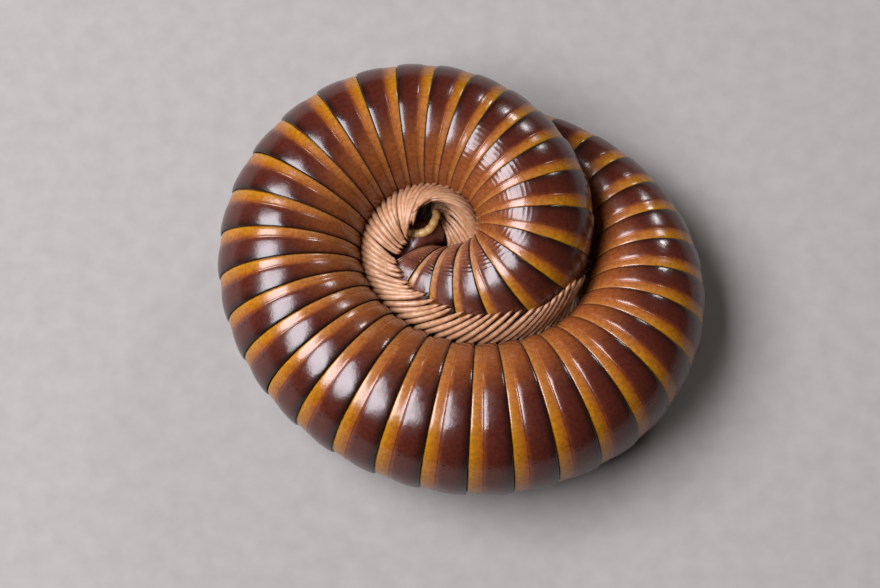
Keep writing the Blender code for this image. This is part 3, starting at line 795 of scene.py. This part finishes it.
def push_clear(point, upward):
    """Moves a point of a leg out of the body, the head and the floor, mostly upward or downward.

    Each try takes the ball of radius r that the point is deepest in, and a way w that leans from straight
    out toward up or down. With o the offset from the ball's middle, the point moves along w by
    the square root of (o.w)^2 + r^2 - |o|^2, less o.w, and so ends on the ball.
    """
    for _ in range(PUSHES):
        offsets = point - ball_middles
        far = np.linalg.norm(offsets, axis=1)
        worst = int((ball_radii - far).argmax())
        if ball_radii[worst] <= far[worst] + PUSH_END:
            break
        way = unit(offsets[worst] / far[worst] + np.array((0.0, 0.0, upward * LEG_LIFT_WAY)))
        on_way = offsets[worst] @ way
        point = point + way * (math.sqrt(on_way ** 2 + ball_radii[worst] ** 2 - far[worst] ** 2) - on_way)
    point[2] = max(point[2], LEG_WIDTH)
    return point


def leg_path(count, side, stray):
    """Points of one leg from inside the belly to its tip: equal steps whose sweep uncurls toward the tip.

    The three stray numbers turn, lift and lengthen the leg a little, as no two lie quite alike.
    """
    middle, backward, outward, sideways, radius, belly = body_frame(count)
    angle = float(along(ANGLES, count))
    tucked = float(np.interp(angle, TUCKED_ANGLES, (0.0, 1.0)))
    upward = side + tucked * (-1 - side)
    spread = math.radians(side * (LEG_SPREAD + tucked * (TUCKED_SPREAD - LEG_SPREAD)) - tucked * TUCKED_DROP)
    depth = min(radius * math.cos(spread), belly)
    foot = math.sin(spread) * radius * sideways
    path = [middle + foot - (depth + more) * outward for more in (-LEG_ROOT_DEPTH, LEG_STEM)]
    sweep = np.interp(angle, SWEEP_ANGLES, SWEEP_TURNS) + LEG_STRAY_TURN * stray[0]
    length = LEG_LENGTH_PER_GIRTH * radius * np.interp(angle, LENGTH_ANGLES, LENGTH_SHARES)
    length = length * (1.0 + LEG_STRAY_LENGTH * stray[2])
    curl = np.interp(angle, CURL_ANGLES, CURL_TURNS)
    dip = np.interp(angle, LEG_DIP_ANGLES, LEG_DIPS)
    if side < 0:
        length = LEG_LENGTH_UNDERNEATH * length
    for step in range(LEG_STEPS):
        part = (step + 0.5) / LEG_STEPS
        turn = math.radians(sweep + curl * (0.5 - part))
        rise = upward * (LEG_RISE + (dip - LEG_RISE) * part + LEG_STRAY_RISE * stray[1])
        heading = unit(math.sin(turn) * backward - math.cos(turn) * outward + rise * sideways)
        path.append(push_clear(path[-1] + heading * length / LEG_STEPS, upward))
    return np.array(path)


def leg_counts():
    """Ring counts of all leg pairs: one pair on the first rings, two on the others.

    Where the coil is tight, up to LEG_EVEN_END, the roots stand at even steps along the belly instead.
    """
    singles = [ring + ROOT_SINGLE for ring in range(TRUNK_CUTS[0], FIRST_DOUBLE_RING)]
    doubles = [ring + root for ring in range(FIRST_DOUBLE_RING, TRUNK_CUTS[-1]) for root in ROOTS_DOUBLE]
    counts = np.array(singles + doubles)
    dense = np.linspace(counts[0], LEG_EVEN_END, EDGE_READINGS)
    middle, _, outward, _, radius, belly = body_frame(dense)
    edge = middle - np.minimum(radius, belly)[:, None] * outward
    walked = np.concatenate([[0.0], np.cumsum(np.linalg.norm(np.diff(edge, axis=0), axis=1))])
    near = counts < LEG_EVEN_END
    counts[near] = np.interp(np.linspace(0.0, walked[-1], near.sum() + 1)[:-1], walked, dense)
    return counts


# Tan satin chitin of the legs
leg_chitin = limb_chitin("satin_tan_chitin", (
    (0.0, "#8d5538"), (1.0, "#82563c"), (0.2, "#b68c6c"), (0.7, "#c09878"), (0.92, "#ae8260")), "#875538")

chance = np.random.default_rng(LEG_SEED)
leg_shares = np.linspace(0.0, 1.0, LEG_ROWS)
leg_taper = 1.0 - LEG_TAPER * leg_shares ** 3
leg_taper[-1] = LEG_TIP
leg_shape = leg_taper * jointed(leg_shares, LEG_JOINTS, LEG_PINCH)
leg_marks = joint_marks(leg_shares, LEG_JOINTS, LEG_JOINT_MARK)
counts = leg_counts()
for number, (first, last) in enumerate(zip(TRUNK_CUTS[:-1], TRUNK_CUTS[1:]), start=1):
    grids = []
    for count in counts[(counts >= first) & (counts < last)]:
        for side in (1, -1):
            girth = float(along(RADII, count)) / FULL_GIRTH
            radii = 0.5 * LEG_WIDTH * min(1.0, LEG_THINNEST + (1.0 - LEG_THINNEST) * girth) * leg_shape
            path = smooth_path(leg_path(count, side, chance.normal(size=3)), leg_shares)
            grids.append(tube_rows(path, radii, LEG_SIDES))
    legs = closed_surface(f"legs_{number:02d}", grids, {
        "limb_share": leg_shares[:, None], "joint": 0.5 * leg_marks[:, None]})
    legs.data.materials.append(leg_chitin)
    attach(legs, "root")


# Telson
# The telson closes the tail: a last small ring of the same waxy chitin, with two rounded valves that meet in
# a seam from back to belly.

TELSON_PROFILE = ((0.0, -0.32), (0.012, -0.22), (0.03, -0.15), (0.08, -0.1), (0.2, -0.08), (0.3, -0.1),
                  (0.33, -0.16), (0.37, -0.05), (0.42, 0.0), (0.55, 0.02), (0.7, 0.02), (0.8, 0.0),
                  (0.83, -0.1), (0.86, -0.06), (0.93, -0.1), (1.0, -0.2), (1.08, -0.38), (1.15, -0.6),
                  (1.21, -0.9), (1.25, -1.2), (1.28, -1.6))
TELSON_COLUMNS = 240
# Places where the ring ends and the valves start, and the darkest place whose colour the valves take
TELSON_RING_END = 0.8
VALVES_START = 0.85
VALVES_COLOUR_PLACE = 0.9
# Seam between the valves: half width as a share of half a turn, depth in mm, and the strength of the painted
# shade in it
VALVE_SEAM_WIDTH = 0.035
VALVE_SEAM_DEPTH = 0.14
VALVE_SEAM_SHADE = 0.8

counts, places, heights = ring_rows(TRUNK_CUTS[-1], TRUNK_CUTS[-1] + 1, TELSON_PROFILE)
heights = np.where(places < TELSON_RING_END, heights, np.array(TELSON_PROFILE)[:, 1])
telson_turns, telson_share = even_turns(TELSON_COLUMNS)
from_seam = np.abs(np.abs(telson_share * 2.0 - 1.0) - 1.0)
seam = np.exp(-(from_seam / VALVE_SEAM_WIDTH) ** 2) * (places[:, None] > VALVES_START)
telson_grid = body_surface(counts, telson_turns, heights[:, None] - VALVE_SEAM_DEPTH * seam)
telson = closed_surface("tail_ring_and_valves", [telson_grid], {
    "ring_place": np.minimum(places, VALVES_COLOUR_PLACE)[:, None], "round_turn": telson_share[None],
    "stria_shade": VALVE_SEAM_SHADE * seam})
telson.data.materials.append(chitin)
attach(telson, "root")
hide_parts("telson")


# Studio
# A pale matt floor, one big soft window light high on the left, a small bright one low at the back right,
# a dim even fill, and the camera at the photograph's angle.

# Sizes and distances in metres
FLOOR_SIZE = 0.8
LIGHT_DISTANCE = 0.5
CAMERA_DISTANCE = 0.2444
# Camera's height above the floor's plane in degrees, its lens and sensor in mm, and the fill's strength
CAMERA_ELEVATION = 74.0
CAMERA_LENS = 100.0
CAMERA_SENSOR = 36.0
FILL_STRENGTH = 0.1
# The point of the coil that the camera and the lights look at, in metres
COIL_POINT = np.array([-2.2, -1.45, 7.4]) * MM

floor_mesh = bpy.data.meshes.new("floor")
half = 0.5 * FLOOR_SIZE
floor_corners = [(-half, -half, 0), (half, -half, 0), (half, half, 0), (-half, half, 0)]
floor_mesh.from_pydata(floor_corners, [], [(0, 1, 2, 3)])
floor = bpy.data.objects.new("floor", floor_mesh)
bpy.context.scene.collection.objects.link(floor)

# Matt studio paper: clouds of fibres, drawn 2 mm across, as single fibres are too fine to show
FIBRE_SIZE = 2.0

paper, tree, shader = new_material("pale_matt_paper")
spot = add_node(tree, "TexCoord").outputs["Object"]
fibre = add_node(tree, "TexNoise", None, {"Vector": spot, "Scale": 1 / MM / FIBRE_SIZE,
                                          "Detail": 4.0}).outputs["Fac"]
colour = add_node(tree, "ValToRGB", None, {"Fac": fibre},
                  stops=((0.3, "#8f8c88"), (0.7, "#96938f"))).outputs[0]
tree.links.new(colour, shader.inputs["Base Color"])
shader.inputs["Roughness"].default_value = 0.9
floor.data.materials.append(paper)


def soft_light(name, azimuth, elevation, width, height, power, code):
    """Soft light of a width and height that looks at the coil from an azimuth and elevation in degrees."""
    light = bpy.data.lights.new(name, "AREA")
    light.shape = "RECTANGLE"
    light.size = width
    light.size_y = height
    light.energy = power
    light.color = linear(code)[:3]
    lamp = bpy.data.objects.new(name, light)
    side, rise = math.radians(azimuth), math.radians(elevation)
    way = np.array([math.cos(side) * math.cos(rise), math.sin(side) * math.cos(rise), math.sin(rise)])
    lamp.location = COIL_POINT + way * LIGHT_DISTANCE
    lamp.rotation_euler = (math.pi / 2 - rise, 0.0, side + math.pi / 2)
    bpy.context.scene.collection.objects.link(lamp)


soft_light("window_light", azimuth=-178.0, elevation=56.0, width=0.46, height=0.28,
           power=6.0, code="#f6f3fb")
soft_light("back_light", azimuth=57.0, elevation=28.0, width=0.08, height=0.08,
           power=0.5, code="#ffffff")

world = bpy.data.worlds.new("studio")
world.use_nodes = True
world.node_tree.nodes["Background"].inputs["Color"].default_value = linear("#d8ccc0")
world.node_tree.nodes["Background"].inputs["Strength"].default_value = FILL_STRENGTH
bpy.context.scene.world = world
bpy.context.scene.view_settings.view_transform = "Standard"

view = bpy.data.cameras.new("photo_camera")
view.lens = CAMERA_LENS
view.sensor_width = CAMERA_SENSOR
camera = bpy.data.objects.new("photo_camera", view)
tilt = math.radians(90.0 - CAMERA_ELEVATION)
camera.location = COIL_POINT + CAMERA_DISTANCE * np.array([0.0, -math.sin(tilt), math.cos(tilt)])
camera.rotation_euler = (tilt, 0.0, 0.0)
bpy.context.scene.collection.objects.link(camera)
bpy.context.scene.camera = camera
